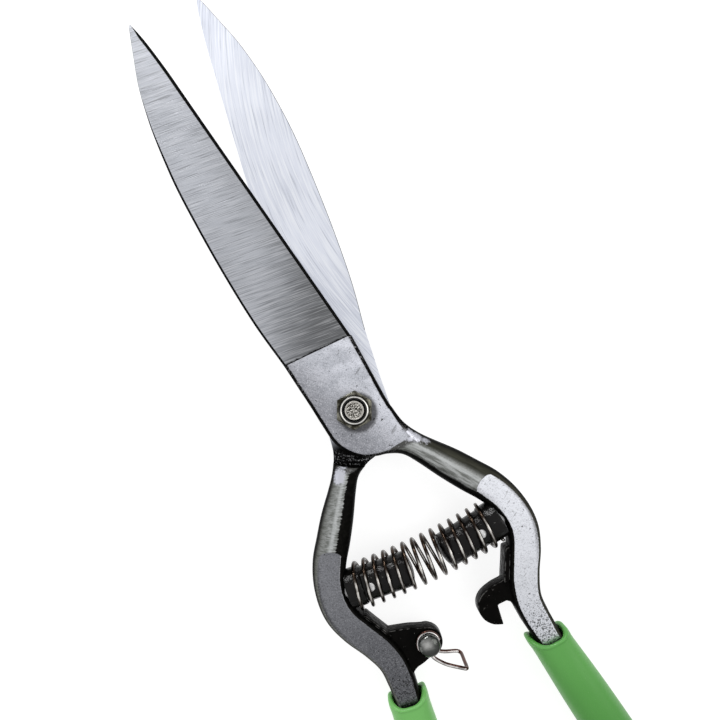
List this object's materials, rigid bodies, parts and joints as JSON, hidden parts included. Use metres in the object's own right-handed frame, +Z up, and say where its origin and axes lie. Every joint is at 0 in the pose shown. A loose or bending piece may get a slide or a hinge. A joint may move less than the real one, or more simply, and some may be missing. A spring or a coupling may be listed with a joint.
{
  "type": "hedge shears",
  "caption": "Hand hedge shears with crossing forged steel blades, a bolt pivot, an opening coil spring on pegs, a wire bail lock and dipped vinyl grips.",
  "frame": {"origin": "on the pivot axis, at the flat outer face of the pivot bolt's head, which the tool lies on", "axes": "+Z up along the pivot bolt from its head to its nut, +Y from the pivot to the blade tips along the middle of the open blades, +X to the right, the side of the front half's handle"},
  "size_m": [0.1046, 0.3892, 0.0243],
  "materials": {
    "ground_blade": "satin, ground across the blade",
    "forged_steel": "belt-ground satin over dark forged scale",
    "zinc_plate": "yellowish zinc plate",
    "nylon": "matt",
    "black_enamel": "glossy black",
    "plain_steel": "turned",
    "bright_pin": "bright",
    "spring_steel": "drawn wire, brownish",
    "bail_wire": "drawn wire, bright",
    "green_vinyl": "satin dipped vinyl"
  },
  "bodies": {
    "rear_half": {"rear_blade": "ground_blade", "rear_tang": "forged_steel", "rear_peg_stud": "plain_steel", "rear_spring_peg": "black_enamel", "rear_peg_pin": "bright_pin", "rear_grip": "green_vinyl", "catch_lug": "black_enamel", "catch_rivet": "bright_pin", "pivot_bolt": "zinc_plate", "pivot_nut": "zinc_plate", "nut_nylon_ring": "nylon", "coil_spring": "spring_steel"},
    "front_half": {"front_blade": "ground_blade", "front_tang": "forged_steel", "front_peg_stud": "plain_steel", "front_spring_peg": "black_enamel", "front_peg_pin": "bright_pin", "front_grip": "green_vinyl", "hook_lug": "black_enamel"},
    "bail": {"wire_bail": "bail_wire"}
  },
  "joints": [
    {"name": "pivot", "type": "hinge", "parent": "rear_half", "child": "front_half", "pos_m": [0, 0, 0.0106], "axis": [0, 0, 1], "range_deg": [-10, 3], "stiffness_Nm_per_rad": 2.2, "deforming": ["coil_spring"]},
    {"name": "bail_swing", "type": "hinge", "parent": "rear_half", "child": "bail", "pos_m": [-0.0132, -0.0942, 0.0106], "axis": [0, 0, 1], "range_deg": [-45, 47]}
  ]
}
